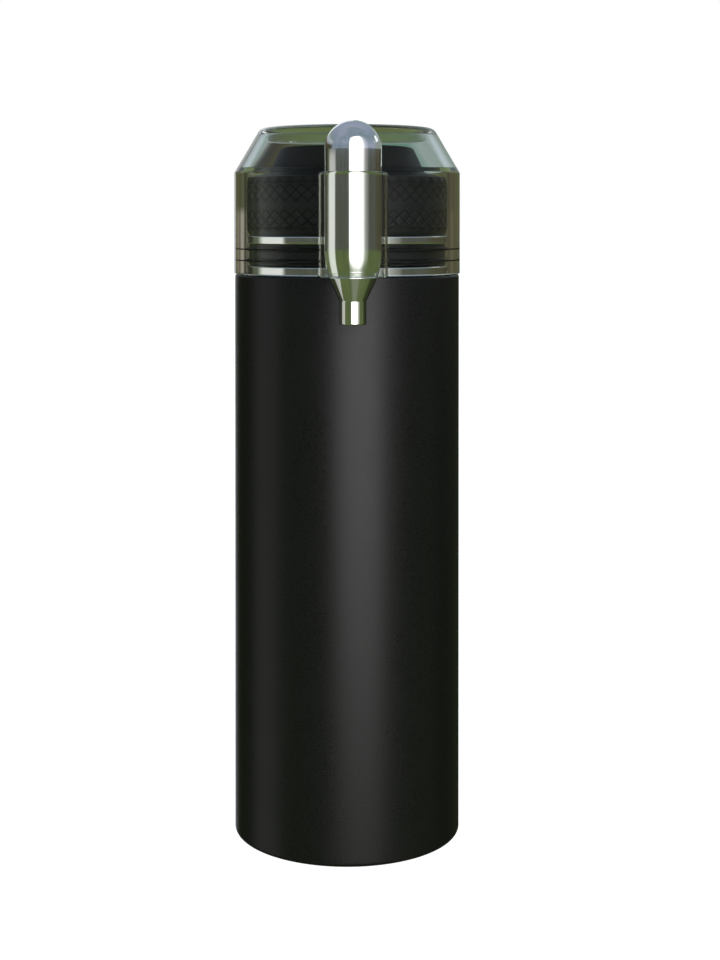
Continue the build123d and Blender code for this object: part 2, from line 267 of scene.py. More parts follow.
def make_object(name: str, vertices: np.ndarray, faces: list[np.ndarray]) -> bpy.types.Object:
    """Makes a smooth mesh object at the origin.

    Args:
        name: the piece's name.
        vertices: rows of X, Y and Z in millimetres.
        faces: arrays of vertex numbers, each with one row per face.

    Returns:
        The new object, linked to the scene.
    """
    mesh = bpy.data.meshes.new(name)
    mesh.from_pydata((vertices * MM).tolist(), [], [row for block in faces for row in block.tolist()])
    mesh.polygons.foreach_set("use_smooth", np.ones(len(mesh.polygons), bool))
    mesh.update()
    piece = bpy.data.objects.new(name, mesh)
    bpy.context.scene.collection.objects.link(piece)
    return piece


def grid_faces(rows: int, columns: int, wrap_rows: bool) -> np.ndarray:
    """Quads of a grid whose columns always wrap round, each turned to face outwards.

    Args:
        rows: points along the outline.
        columns: points round the axis.
        wrap_rows: True if the last row joins the first.

    Returns:
        Four vertex numbers per quad.
    """
    i = np.arange(rows if wrap_rows else rows - 1)[:, None]
    j = np.arange(columns)[None]
    i_next, j_next = (i + 1) % rows, (j + 1) % columns
    quad = [i * columns + j, i * columns + j_next, i_next * columns + j_next, i_next * columns + j]
    return np.stack([np.broadcast_to(q, (i.size, columns)) for q in quad], -1).reshape(-1, 4)


def split_facets(faces: np.ndarray, first: int, columns: int, segments: int, sense: str) -> np.ndarray:
    """Cuts a band of quads along its facets' edges, so that they stay straight.

    In the first half of each facet's columns the cut climbs with the angle and in the second half it falls,
    or the other way for the sense "down".

    Args:
        faces: the grid's quads.
        first: the band's first row.
        columns: columns in a facet, twice the band's height in rows.
        segments: columns in the grid.
        sense: "up" or "down", where the narrow ring is.

    Returns:
        Triangles for the band.
    """
    rows = columns // 2
    quads = faces[first * segments : (first + rows) * segments]
    climbs = (np.arange(len(quads)) % segments) % columns < rows
    if sense == "down":
        climbs = ~climbs
    a, b, c, d = quads.T
    one = np.where(climbs[:, None], np.stack([a, b, c], 1), np.stack([a, b, d], 1))
    two = np.where(climbs[:, None], np.stack([a, c, d], 1), np.stack([b, c, d], 1))
    return np.concatenate([one, two])


def facet_edges(first: int, columns: int, segments: int, sense: str) -> np.ndarray:
    """Vertex pairs along a facet band's creases and its two rings.

    Args:
        first: the band's first row.
        columns: columns in a facet.
        segments: columns in the grid.
        sense: "up" or "down", where the narrow ring is.

    Returns:
        Rows of two vertex numbers.
    """
    rows = columns // 2
    row = np.arange(rows)[:, None]
    start = np.arange(0, segments, columns)[None] + (0 if sense == "up" else rows)
    pairs = []
    for step in (1, -1):
        here = (first + row) * segments + (start + step * row) % segments
        there = (first + row + 1) * segments + (start + step * (row + 1)) % segments
        pairs.append(np.stack([here.ravel(), there.ravel()], 1))
    around = np.arange(segments)
    for ring_row in (first, first + rows):
        pairs.append(ring_row * segments + np.stack([around, (around + 1) % segments], 1))
    return np.concatenate(pairs)


def turned(
    name: str,
    outline: np.ndarray,
    segments: int = 256,
    centre: tuple[float, float] = (0.0, 0.0),
    radius_shift: np.ndarray | float = 0.0,
    facet_rows: dict[int, str] | None = None,
    facet_columns: int = 0,
) -> bpy.types.Object:
    """Turns an outline about an upright axis.

    A point is (r cos a, r sin a, z) for the outline's r and z and the angle a, with r moved by radius_shift.

    Args:
        name: the piece's name.
        outline: rows of radius and height, anticlockwise with the radius to the right. Where the first and
            last lie on the axis they become poles, and otherwise the outline is a loop.
        segments: points round the axis.
        centre: the axis's X and Y.
        radius_shift: what to add to the radius, one row per outline point and one column per segment.
        facet_rows: the first row of each band of facets, and the way its narrow ring lies.
        facet_columns: columns in a facet.

    Returns:
        The new object.
    """
    on_axis = bool(outline[0, 0] < 1e-6 and outline[-1, 0] < 1e-6)
    body = outline[1:-1] if on_axis else outline
    angle = np.arange(segments) * (2 * math.pi / segments)
    radius = np.repeat(body[:, :1], segments, 1) + radius_shift
    x = centre[0] + radius * np.cos(angle)
    y = centre[1] + radius * np.sin(angle)
    z = np.repeat(body[:, 1:], segments, 1)
    vertices = np.stack([x, y, z], -1).reshape(-1, 3)
    faces = [grid_faces(len(body), segments, wrap_rows=not on_axis)]
    if on_axis:
        first, last = len(vertices), len(vertices) + 1
        poles = [[*centre, outline[0, 1]], [*centre, outline[-1, 1]]]
        vertices = np.concatenate([vertices, poles])
        j = np.arange(segments)
        j_next, top = (j + 1) % segments, (len(body) - 1) * segments
        faces.append(np.stack([np.full(segments, first), j_next, j], 1))
        faces.append(np.stack([np.full(segments, last), top + j, top + j_next], 1))
    sharp = []
    kept = np.ones(len(faces[0]), bool)
    for band, sense in (facet_rows or {}).items():
        faces.append(split_facets(faces[0], band, facet_columns, segments, sense))
        sharp.append(facet_edges(band, facet_columns, segments, sense))
        kept[band * segments : (band + facet_columns // 2) * segments] = False
    faces[0] = faces[0][kept]
    piece = make_object(name, vertices, faces)
    if sharp:
        mark_sharp(piece.data, np.concatenate(sharp))
    return piece


def mark_sharp(mesh: bpy.types.Mesh, pairs: np.ndarray) -> None:
    """Marks edges as sharp.

    Args:
        mesh: the mesh.
        pairs: the edges, as rows of two vertex numbers.
    """
    ends = np.empty(len(mesh.edges) * 2, np.int32)
    mesh.edges.foreach_get("vertices", ends)
    key = np.array([len(mesh.vertices), 1])
    keys = [np.sort(rows.reshape(-1, 2), 1) @ key for rows in (ends.astype(np.int64), pairs)]
    mark = mesh.attributes.get("sharp_edge") or mesh.attributes.new("sharp_edge", "BOOLEAN", "EDGE")
    mark.data.foreach_set("value", np.isin(keys[0], keys[1]))


# ---------------------------------------------------------------- finishes


class Lay(Enum):
    """Which way the fine marks of a metal's working run."""

    ROUND = "turned or spun, marks run round the axis"
    UPRIGHT = "drawn, marks run up and down"
    EVEN = "tumbled or polished, no direction"


@dataclass(frozen=True)
class Finish:
    """A material by its common name and how its surface was made."""

    name: str
    colour: str
    roughness: float

    def start(self) -> tuple[bpy.types.Material, bpy.types.NodeTree, bpy.types.Node, bpy.types.NodeSocket]:
        """Makes the material with a Principled shader and the coordinates that its patterns follow.

        Returns:
            The material, its tree, the shader node and the Object coordinates.
        """
        material = bpy.data.materials.new(self.name)
        material.use_nodes = True
        tree = material.node_tree
        tree.nodes.clear()
        shader = add_node(tree, "BsdfPrincipled", {"Base Color": linear(self.colour),
                                                   "Roughness": self.roughness})
        add_node(tree, "OutputMaterial", {"Surface": shader.outputs[0]})
        return material, tree, shader, add_node(tree, "TexCoord").outputs["Object"]

    def material(self) -> bpy.types.Material:
        """The finish's material, made once."""
        return bpy.data.materials.get(self.name) or self.build()

    def build(self) -> bpy.types.Material:
        """Makes the material."""
        raise NotImplementedError


def scale_for(size_mm: float) -> float:
    """A noise texture's scale for features of that size, with Object coordinates in metres."""
    return 1 / (size_mm * MM)


def vary(
    tree: bpy.types.NodeTree, source: bpy.types.NodeSocket, low: float, high: float
) -> bpy.types.NodeSocket:
    """Spreads a texture's middle range over low to high.

    Args:
        tree: the material's tree.
        source: a value around 0.5.
        low: the value where the texture is dark.
        high: the value where it is light.

    Returns:
        The spread value.
    """
    spread = add_node(tree, "MapRange", {"Value": source, "From Min": 0.3, "From Max": 0.7, "To Min": low,
                                         "To Max": high})
    return spread.outputs["Result"]


@dataclass(frozen=True)
class PowderCoat(Finish):
    """Black polyester powder, baked: a satin skin with a fine, even, slightly pebbled grain."""

    grain_mm: float = 0.42
    grain_depth_mm: float = 0.012
    light_colour: str = "#161616"
    specular: float = 0.27

    def build(self) -> bpy.types.Material:
        """Grain as bump, with a faint mottle in gloss and in colour."""
        material, tree, shader, place = self.start()
        grain = add_node(tree, "TexNoise", {"Vector": place, "Scale": scale_for(self.grain_mm),
                                            "Detail": 2.0})
        cloud = add_node(tree, "TexNoise", {"Vector": place, "Scale": scale_for(14.0), "Detail": 3.0})
        shader.inputs["Specular IOR Level"].default_value = self.specular
        fleck = blend(tree, vary(tree, grain.outputs["Fac"], 0.0, 1.0), self.colour, self.light_colour)
        tree.links.new(fleck, shader.inputs["Base Color"])
        spread = vary(tree, grain.outputs["Fac"], -0.05, 0.05)
        slow = vary(tree, cloud.outputs["Fac"], self.roughness - 0.015, self.roughness + 0.015)
        tree.links.new(reckon(tree, "ADD", spread, slow), shader.inputs["Roughness"])
        bump = add_node(tree, "Bump", {"Height": grain.outputs["Fac"], "Strength": 0.6,
                                       "Distance": self.grain_depth_mm * MM})
        tree.links.new(bump.outputs[0], shader.inputs["Normal"])
        return material


@dataclass(frozen=True)
class Metal(Finish):
    """A bare metal whose fine working marks run one way."""

    lay: Lay = Lay.EVEN
    marks: float = 0.03
    mark_mm: float = 0.25
    depth_mm: float = 0.002
    least_roughness: float = 0.015

    def build(self) -> bpy.types.Material:
        """Marks as stretched noise in the gloss and a very shallow bump."""
        material, tree, shader, place = self.start()
        shader.inputs["Metallic"].default_value = 1.0
        stretch = {
            Lay.ROUND: (0.02, 0.02, 1.0),
            Lay.UPRIGHT: (1.0, 1.0, 0.02),
            Lay.EVEN: (0.6, 0.6, 0.6),
        }[self.lay]
        along = add_node(tree, "VectorMath", {0: place, 1: stretch}, operation="MULTIPLY")
        marks = add_node(tree, "TexNoise", {"Vector": along.outputs[0], "Scale": scale_for(self.mark_mm),
                                            "Detail": 3.0})
        smudge = add_node(tree, "TexNoise", {"Vector": place, "Scale": scale_for(9.0), "Detail": 2.0})
        fine = vary(tree, marks.outputs["Fac"], -self.marks, self.marks)
        slow = vary(tree, smudge.outputs["Fac"], self.roughness, self.roughness + 0.5 * self.marks)
        gloss = reckon(tree, "MAXIMUM", reckon(tree, "ADD", fine, slow), self.least_roughness)
        tree.links.new(gloss, shader.inputs["Roughness"])
        bump = add_node(tree, "Bump", {"Height": marks.outputs["Fac"], "Strength": 0.35,
                                       "Distance": self.depth_mm * MM})
        tree.links.new(bump.outputs[0], shader.inputs["Normal"])
        return material


@dataclass(frozen=True)
class Moulded(Finish):
    """A moulded plastic or rubber with the eroded texture of its tool."""

    grain_mm: float = 0.3
    grain_depth_mm: float = 0.004
    glow_through: float = 0.0
    specular: float = 0.5

    def build(self) -> bpy.types.Material:
        """Tool grain as bump and a slow change in gloss from handling."""
        material, tree, shader, place = self.start()
        shader.inputs["Specular IOR Level"].default_value = self.specular
        shader.inputs["Subsurface Weight"].default_value = self.glow_through
        shader.inputs["Subsurface Scale"].default_value = 1.5 * MM
        grain = add_node(tree, "TexNoise", {"Vector": place, "Scale": scale_for(self.grain_mm),
                                            "Detail": 2.0})
        handled = add_node(tree, "TexNoise", {"Vector": place, "Scale": scale_for(11.0), "Detail": 3.0})
        gloss = vary(tree, handled.outputs["Fac"], self.roughness - 0.04, self.roughness + 0.04)
        self.dull_and_shade_lines(tree, shader, gloss)
        bump = add_node(tree, "Bump", {"Height": grain.outputs["Fac"], "Strength": 0.5,
                                       "Distance": self.grain_depth_mm * MM})
        tree.links.new(bump.outputs[0], shader.inputs["Normal"])
        return material

    def dull_and_shade_lines(
        self, tree: bpy.types.NodeTree, shader: bpy.types.Node, gloss: bpy.types.NodeSocket
    ) -> None:
        """Links the gloss as it is: only a finish with dulled lines and painted shade has more to do.

        Args:
            tree: the material's tree.
            shader: the Principled shader.
            gloss: the roughness away from any engraving.
        """
        tree.links.new(gloss, shader.inputs["Roughness"])


@dataclass(frozen=True)
class Knurled(Moulded):
    """A moulded grip whose engraved lines are duller, with a painted shade darkening them and one set of
    chamfer facets.
    """

    # Painted shade: the colour that the lines' grooves and the shaded facets blend towards.
    line_shade_colour: str = "#030303"

    def dull_and_shade_lines(
        self, tree: bpy.types.NodeTree, shader: bpy.types.Node, gloss: bpy.types.NodeSocket
    ) -> None:
        """Dulls the lines and paints shade on them by the piece's own attribute of lines and shaded facets.

        Args:
            tree: the material's tree.
            shader: the Principled shader.
            gloss: the roughness away from the lines.
        """
        depth = add_node(tree, "Attribute", attribute_name=DULL_AND_SHADE).outputs["Fac"]
        dull = add_node(tree, "MapRange", {"Value": depth, "To Min": gloss, "To Max": 0.9})
        tree.links.new(dull.outputs["Result"], shader.inputs["Roughness"])
        # Painted shade: the lines and one set of chamfer facets blend towards a near-black colour.
        tree.links.new(blend(tree, depth, self.colour, self.line_shade_colour), shader.inputs["Base Color"])


@dataclass(frozen=True)
class Clear(Finish):
    """A thick clear polished moulding: it bends what stands behind it and mirrors a little."""

    index: float = 1.52
    face_gloss: str = "#404040"

    def build(self) -> bpy.types.Material:
        """Full transmission, with the faint waviness that a thick moulding keeps."""
        material, tree, shader, place = self.start()
        shader.inputs["Transmission Weight"].default_value = 1.0
        shader.inputs["IOR"].default_value = self.index
        shader.inputs["Specular Tint"].default_value = linear(self.face_gloss)
        wave = add_node(tree, "TexNoise", {"Vector": place, "Scale": scale_for(16.0), "Detail": 1.0})
        bump = add_node(tree, "Bump", {"Height": wave.outputs["Fac"], "Strength": 0.25,
                                       "Distance": 0.02 * MM})
        tree.links.new(bump.outputs[0], shader.inputs["Normal"])
        return material


# Baked powder: near black, with one wide soft highlight and a pebble too fine to count.
POWDER_BLACK = PowderCoat("powder_coat_satin_black", "#070707", 0.32)
# Buffed and drawn steel: mirrors whose fine marks only soften the edges of what they show.
NECK_STEEL = Metal("stainless_polished_neck", "#e6e6e5", 0.05, Lay.ROUND, 0.03)
TRIM_STEEL = Metal("stainless_polished_trim", "#e6e6e5", 0.05, Lay.ROUND, 0.03)
CARTRIDGE_STEEL = Metal("zinc_bright_drawn_steel", "#e4e4e3", 0.06, Lay.UPRIGHT, 0.025, depth_mm=0.001)
# Steel left as it was electropolished, spun or coiled: a broad grey sheen. Brass from the lathe: warmer, with
# its rings in sight. The getter is pressed powder, and dull.
LINER_STEEL = Metal("stainless_electropolished_liner", "#b9b8b3", 0.24, Lay.UPRIGHT, 0.06)
BASE_STEEL = Metal("stainless_spun_base", "#b2b1ad", 0.3, Lay.EVEN, 0.06)
SPRING_STEEL = Metal("stainless_spring_wire", "#a9a9a7", 0.2, Lay.EVEN, 0.05)
TURNED_BRASS = Metal("brass_turned", "#c9a458", 0.2, Lay.ROUND, 0.06)
GETTER_METAL = Metal("sintered_getter_alloy", "#4a4a48", 0.6, Lay.EVEN, 0.1)
# Clear copolyester: hardly tinted, seen mostly by what it bends.
CLEAR_COPOLYESTER = Clear("copolyester_clear_moulded", "#fcfefc", 0.0)
# Black nylon, ABS, polypropylene and silicone from eroded tools: a low sheen over a fine grain, the crown's
# the lowest. The natural plastics and the grey silicone let some light in and look soft at their edges.
GRIP_PLASTIC = Knurled("nylon_black_knurled", "#1b1b1b", 0.46, 0.25, specular=0.35)
CROWN_PLASTIC = Moulded("abs_black_satin_crown", "#22211e", 0.5, 0.25, specular=0.12)
CORE_PLASTIC = Moulded("polypropylene_black_core", "#131313", 0.45)
COLLAR_RUBBER = Moulded("silicone_black_collar", "#161616", 0.46, 0.4, 0.002, specular=0.35)
GASKET_RUBBER = Moulded("silicone_grey_gasket", "#9b9d9c", 0.5, 0.4, glow_through=0.35)
LINER_PLASTIC = Moulded("polypropylene_natural_disc", "#c9c8c1", 0.4, glow_through=0.4)
VALVE_PLASTIC = Moulded("acetal_natural_valve", "#dad8d0", 0.34, glow_through=0.3)
# Melted sealing glass: dark, smooth and wet-looking.
SEAL_GLASS = Moulded("sealing_glass_bead", "#16211b", 0.12, 0.6)


def dress(piece: bpy.types.Object, finish: Finish) -> None:
    """Gives a piece, or a CAD node, one finish all over.

    Args:
        piece: the piece or node.
        finish: its finish.
    """
    piece.data.materials.clear()
    piece.data.materials.append(finish.material())
    log.info("%s dressed as %s", piece.name, finish.name)


def dress_nodes(nodes: dict[str, bpy.types.Object], finishes: dict[str, Finish]) -> None:
    """Dresses CAD nodes that keep their own meshes.

    Args:
        nodes: the CAD nodes by name.
        finishes: the finish of each node to dress, by its name.
    """
    for name, finish in finishes.items():
        dress(nodes[name], finish)


def place(piece: bpy.types.Object, body: str, finish: Finish, slot: str, *nodes: str) -> None:
    """Dresses a new piece and puts it in the place of CAD nodes.

    Args:
        piece: the new piece.
        body: the CAD body that it rides on.
        finish: its finish.
        slot: a material slot's name; not used.
        nodes: the CAD nodes that it stands for.
    """
    dress(piece, finish)
    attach(piece, body)
    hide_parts(*nodes)
    log.info("%s rides on %s, %d faces", piece.name, body, len(piece.data.polygons))


# ---------------------------------------------------------------- the bottle


@dataclass
class Bottle:
    """The coated outer shell, the bare neck with its thread, and the steel inside."""

    sheet: float = 0.6
    edge_round: float = 1.8
    shoulder_round: float = 0.9
    resting_ring_radius: float = 36.0
    neck_hole_radius: float = 33.6
    band_height: float = 3.0
    band_round: float = 0.45
    tube_radius: float = 28.0
    tube_bore: float = 26.6
    thread_start: float = 200.6
    thread_pitch: float = 4.0
    thread_depth: float = 1.2
    thread_root_width: float = 1.7
    thread_crest_width: float = 0.9
    thread_turns: float = 1.2
    run_out_turns: float = 1 / 12

    def shell(self) -> bpy.types.Object:
        """The coated shell: straight wall, turned in at the shoulder and under the base."""
        low, high = span("outer_shell")
        radius, top = high[0], high[2]
        inside = radius - self.sheet
        outline = rounded([
            Corner(self.resting_ring_radius, low[2], 0.25),
            Corner(radius, low[2], self.edge_round),
            Corner(radius, top, self.shoulder_round),
            Corner(self.neck_hole_radius, top, 0.2),
            Corner(self.neck_hole_radius, top - self.sheet, 0.15),
            Corner(inside, top - self.sheet, 0.3),
            Corner(inside, low[2] + self.sheet, 1.1),
            Corner(self.resting_ring_radius, low[2] + self.sheet, 0.15),
        ], steps=10)
        return turned("outer_shell_coated", outline, 320)

    def thread_height(self, height: np.ndarray, angle: np.ndarray) -> np.ndarray:
        """How far the thread stands out of the neck.

        The ridge's middle climbs from thread_start by one pitch a turn. Its height is the full depth within
        the crest's width of that middle and falls straight to nothing at the root's width, and both of its
        ends run out over a part of a turn.

        Args:
            height: heights, as a column.
            angle: angles, as a row.

        Returns:
            The height of the ridge at each point.
        """
        turn = angle / (2 * math.pi)
        above = height - self.thread_start
        along = np.clip(np.round(above / self.thread_pitch - turn), 0, None) + turn
        away = np.abs(above - self.thread_pitch * along)
        flank = (self.thread_root_width - self.thread_crest_width) / 2
        ridge = np.clip((self.thread_root_width / 2 - away) / flank, 0, 1)
        rise = np.clip(along / self.run_out_turns, 0, 1)
        fall = np.clip((self.thread_turns - along) / self.run_out_turns, 0, 1)
        return self.thread_depth * ridge * rise * fall

    def neck(self) -> bpy.types.Object:
        """The polished band under the lid and the threaded neck, one spun piece."""
        low, high = span("threaded_neck")
        band_radius, bottom, top = high[0], low[2], high[2]
        band_top, inside = bottom + self.band_height, band_radius - self.sheet
        segments, plain = 288, 1.2
        wall = np.linspace(band_top + plain, top - plain, 72)
        foot = rounded([
            Corner(self.tube_bore, band_top - self.sheet, 0.2), Corner(inside, band_top - self.sheet, 0.2),
            Corner(inside, bottom, 0.15), Corner(band_radius, bottom, 0.15),
            Corner(band_radius, band_top, self.band_round), Corner(self.tube_radius, band_top, 0.5),
            Corner(self.tube_radius, top, 0.5), Corner(self.tube_bore, top, 0.5),
        ])
        on_tube = np.abs(foot[:, 0] - self.tube_radius) < 0.01
        split = int(np.argmax(on_tube & (foot[:, 1] > band_top + 0.5))) + 1
        threaded = np.stack([np.full(len(wall), self.tube_radius), wall], 1)
        outline = np.concatenate([foot[:split], threaded, foot[split:]])
        angle = np.arange(segments) * (2 * math.pi / segments)
        shift = np.zeros((len(outline), segments))
        shift[split : split + len(wall)] = self.thread_height(wall[:, None], angle[None])
        return turned("neck_band_and_thread", outline, segments, radius_shift=shift)

    def build(self, nodes: dict[str, bpy.types.Object]) -> None:
        """Places the shell and the neck, and dresses the pieces inside.

        Args:
            nodes: the CAD nodes by name.
        """
        place(self.shell(), "flask", POWDER_BLACK, "powder_coat", "outer_shell")
        place(self.neck(), "flask", NECK_STEEL, "polished_steel", "threaded_neck")
        dress_nodes(nodes, {
            "inner_liner": LINER_STEEL, "base_plate": BASE_STEEL, "plug_cover": BASE_STEEL,
            "vacuum_plug": SEAL_GLASS, "getter_clip": BASE_STEEL, "getter": GETTER_METAL,
        })


# ---------------------------------------------------------------- the screw lid


@dataclass
class ScrewLid:
    """The knurled lid: grip ring, crown, bright trim and soft collar, with its core and valves inside."""

    diamonds: int = 54
    cells: int = 16
    diamond_height: float = 3.75
    line_depth: float = 0.28
    line_width: float = 0.09
    line_fade: float = 0.12
    band_diamonds: float = 1.5
    ring_groove: float = 0.35
    lower_groove: float = 3.3
    upper_groove: float = 4.6
    facets: int = 48
    # Share of extra roughness and of painted shade on one set of chamfer facets, so that they read as turned
    # from the light.
    facet_dullness_and_shade: float = 0.6
    shoulder_radius: float = 34.4
    shoulder_drop: float = 1.9
    foot_radius: float = 34.6
    foot_rise: float = 1.5
    cone_radius: float = 27.1
    crown_radius: float = 23.2
    crown_wall: float = 2.3
    crown_roof: float = 2.5
    crown_lap: float = 1.4
    socket_radius: float = 4.8
    socket_flare: float = 3.2
    lower_rib: float = 1.6
    upper_rib: float = 1.8
    rib_press: float = 0.14

    def facet_planes(
        self, angle: np.ndarray, fall: np.ndarray, wide: float, narrow: float
    ) -> tuple[np.ndarray, np.ndarray]:
        """Radii of the two kinds of flat triangle in a faceted band, of which the lesser is the surface.

        The wide ring's corners stand at whole facets and the narrow ring's between them. Each triangle's
        plane has its chord at one ring and its apex at the other, so its radius is the plane's distance from
        the axis over the cosine of the angle from its middle.

        Args:
            angle: angles, as a row.
            fall: 0 at the wide ring and 1 at the narrow one, as a column.
            wide: radius of the wide ring's corners.
            narrow: radius of the narrow ring's corners.

        Returns:
            The radii of the planes with their chord on the wide ring, and of those with it on the narrow one.
        """
        pitch = 2 * math.pi / self.facets
        flat = math.cos(pitch / 2)
        from_corner = angle - np.round(angle / pitch) * pitch
        from_middle = angle - (np.floor(angle / pitch) + 0.5) * pitch
        on_wide = (wide * flat + (narrow - wide * flat) * fall) / np.cos(from_middle)
        on_narrow = (wide + (narrow * flat - wide) * fall) / np.cos(from_corner)
        return on_wide, on_narrow

    def knurl(self, angle: np.ndarray, depth: np.ndarray) -> np.ndarray:
        """How deep the engraved lines are, from 0 to 1.

        Two families of lines climb round the ring in opposite senses, one for each diamond. A line's depth is
        the bell curve of the distance from it, and it ends where its band of diamonds does.

        Args:
            angle: angles, as a row.
            depth: distance into the band from its groove, as a column.

        Returns:
            The depth of the lines at each point.
        """
        across = angle * self.diamonds / (2 * math.pi)
        lines = np.zeros(np.broadcast(angle, depth).shape)
        for sense in (1.0, -1.0):
            offset = across + sense * depth / self.diamond_height + 0.5
            lines = np.maximum(lines, np.exp(-(((offset - np.round(offset)) / self.line_width) ** 2)))
        end = self.band_diamonds * self.diamond_height + self.line_fade
        return lines * np.clip((end - depth) / self.line_fade, 0, 1)

    def grip(self) -> bpy.types.Object:
        """The grip ring: two bands of engraved diamonds, a groove beside each, and faceted chamfers, with an
        attribute that dulls the lines and one set of facets and paints shade on them.
        """
        low, high = span("grip_ring")
        radius, bottom, top = high[0], low[2], high[2]
        inside, ledge = span("lid_core")[1][0], span("crown")[0][2] + self.crown_lap
        lower, upper, lip = bottom + self.lower_groove, top - self.upper_groove, 0.3
        segments = self.diamonds * self.cells
        angle = (np.arange(segments) * (2 * math.pi / segments))[None]
        into = self.diamond_height / self.cells * np.arange(round(self.band_diamonds * self.cells) + 3)
        lower_band, upper_band = lower + into, upper - into[::-1]
        wall = np.concatenate([lower_band, np.linspace(lower_band[-1], upper_band[0], 8)[1:-1], upper_band])
        lines = self.knurl(angle, np.minimum(wall - lower, upper - wall)[:, None])
        rows = segments // self.facets // 2
        fall = np.linspace(0, 1, rows + 1)[:, None]
        chamfers = {
            "lower": (lower - lip, bottom + self.foot_rise, self.foot_radius, fall[::-1]),
            "upper": (upper + lip, top - self.shoulder_drop, self.shoulder_radius, fall),
        }
        heights, radii, dull = {}, {}, {}
        for name, (start, end, narrow, share) in chamfers.items():
            heights[name] = start + (end - start) * share[:, 0]
            planes = self.facet_planes(angle, share, radius, narrow)
            radii[name] = np.minimum(*planes)
            # One set of facets gets extra roughness and a painted shade, as if it faced away from the light.
            dull[name] = self.facet_dullness_and_shade * (planes[0] < planes[1] - 1e-4)
        groove, shoulder = radius - self.ring_groove, self.shoulder_radius
        foot = rounded([
            Corner(inside, ledge, 0.15), Corner(inside, bottom, 0.15),
            Corner(self.foot_radius - 0.55, bottom, 0.5),
            Corner(self.foot_radius - 0.15, bottom + self.foot_rise - 0.1, 0.1),
        ], closed=False)[1:-1]
        cone = rounded([
            Corner(shoulder - 0.2, top - self.shoulder_drop, 0.1),
            Corner(shoulder - 0.5, top - self.shoulder_drop + 0.08, 0.2), Corner(self.cone_radius, top, 0.3),
            Corner(self.cone_radius, ledge, 0.15), Corner(inside, ledge, 0.15),
        ], closed=False)[1:-1]
        loops = [
            ("foot", foot, None),
            ("lower", heights["lower"], radii["lower"]),
            ("groove", np.array([(groove, lower - 0.2), (groove, lower - 0.1)]), None),
            ("wall", wall, radius - self.line_depth * lines),
            ("groove", np.array([(groove, upper + 0.1), (groove, upper + 0.2)]), None),
            ("upper", heights["upper"], radii["upper"]),
            ("cone", cone, None),
        ]
        outline, shift, first, count = [], [], {}, 0
        for name, places, wanted in loops:
            first.setdefault(name, count)
            count += len(places)
            if wanted is None:
                outline.append(places)
                shift.append(np.zeros((len(places), segments)))
            else:
                outline.append(np.stack([np.full(len(places), radius), places], 1))
                shift.append(wanted - radius)
        piece = turned(
            "grip_ring_knurled", np.concatenate(outline), segments, radius_shift=np.concatenate(shift),
            facet_rows={first["lower"]: "down", first["upper"]: "up"}, facet_columns=2 * rows,
        )
        # The lines and the shaded facets, stored for the material: extra roughness and painted shade.
        dull_and_shade_values = np.zeros((count, segments))
        for name, values in (("wall", lines), *dull.items()):
            dull_and_shade_values[first[name] : first[name] + len(values)] = values
        mark = piece.data.attributes.new(DULL_AND_SHADE, "FLOAT", "POINT")
        mark.data.foreach_set("value", dull_and_shade_values.ravel())
        return piece

    def crown(self) -> bpy.types.Object:
        """The conical top with a funnel in its middle for a cartridge's neck."""
        low, high = span("crown")
        inlet = span("inlet_body")[1]
        foot, top, cone = low[2], high[2], span("grip_ring")[1][2]
        lap, rim, inside = foot + self.crown_lap, self.cone_radius - 0.05, self.cone_radius - self.crown_wall
        roof, boss = top - self.crown_roof, inlet[0] - 1.7
        outline = rounded([
            Corner(inside, foot, 0.2), Corner(high[0], foot, 0.2), Corner(high[0], lap, 0.2),
            Corner(rim, lap, 0.3), Corner(rim, cone, 0.8), Corner(self.crown_radius, top, 1.3),
            Corner(self.socket_radius + self.socket_flare, top, 0.5),
            Corner(self.socket_radius, top - 3.6, 0.8), Corner(self.socket_radius, inlet[2], 0.15),
            Corner(boss, inlet[2], 0.2), Corner(boss, roof, 0.5),
            Corner(self.crown_radius - self.crown_wall, roof, 0.8), Corner(inside, cone - 1.2, 0.8),
        ])
        return turned("crown_cone", outline, 256)

    def ring(self, name: str, node: str, inside: float, edge: float) -> bpy.types.Object:
        """A plain ring with rounded outer edges.

        Args:
            name: the piece's name.
            node: the CAD node whose box it fills.
            inside: its inner radius.
            edge: the rounding of its outer edges.

        Returns:
            The ring.
        """
        low, high = span(node)
        outline = rounded([
            Corner(inside, low[2], 0.12), Corner(high[0], low[2], edge), Corner(high[0], high[2], edge),
            Corner(inside, high[2], 0.12),
        ])
        return turned(name, outline, 288)

    def collar(self) -> bpy.types.Object:
        """The soft collar, with two rounded ribs that press into the clear cap."""
        low, high = span("cap_collar")
        rib, wall, inside = high[0] + self.rib_press, high[0] - 1.0, span("lid_core")[1][0]
        bottom, top = low[2], high[2]
        corners = [Corner(inside, bottom, 0.15), Corner(wall, bottom, 0.3)]
        for middle in (bottom + self.lower_rib, top - self.upper_rib):
            corners += [Corner(wall, middle - 0.7, 0.2), Corner(rib, middle - 0.2, 0.08),
                        Corner(rib, middle + 0.2, 0.08), Corner(wall, middle + 0.7, 0.2)]
        corners += [Corner(wall, top, 0.3), Corner(inside, top, 0.15)]
        return turned("cap_collar_ribbed", rounded(corners), 256)

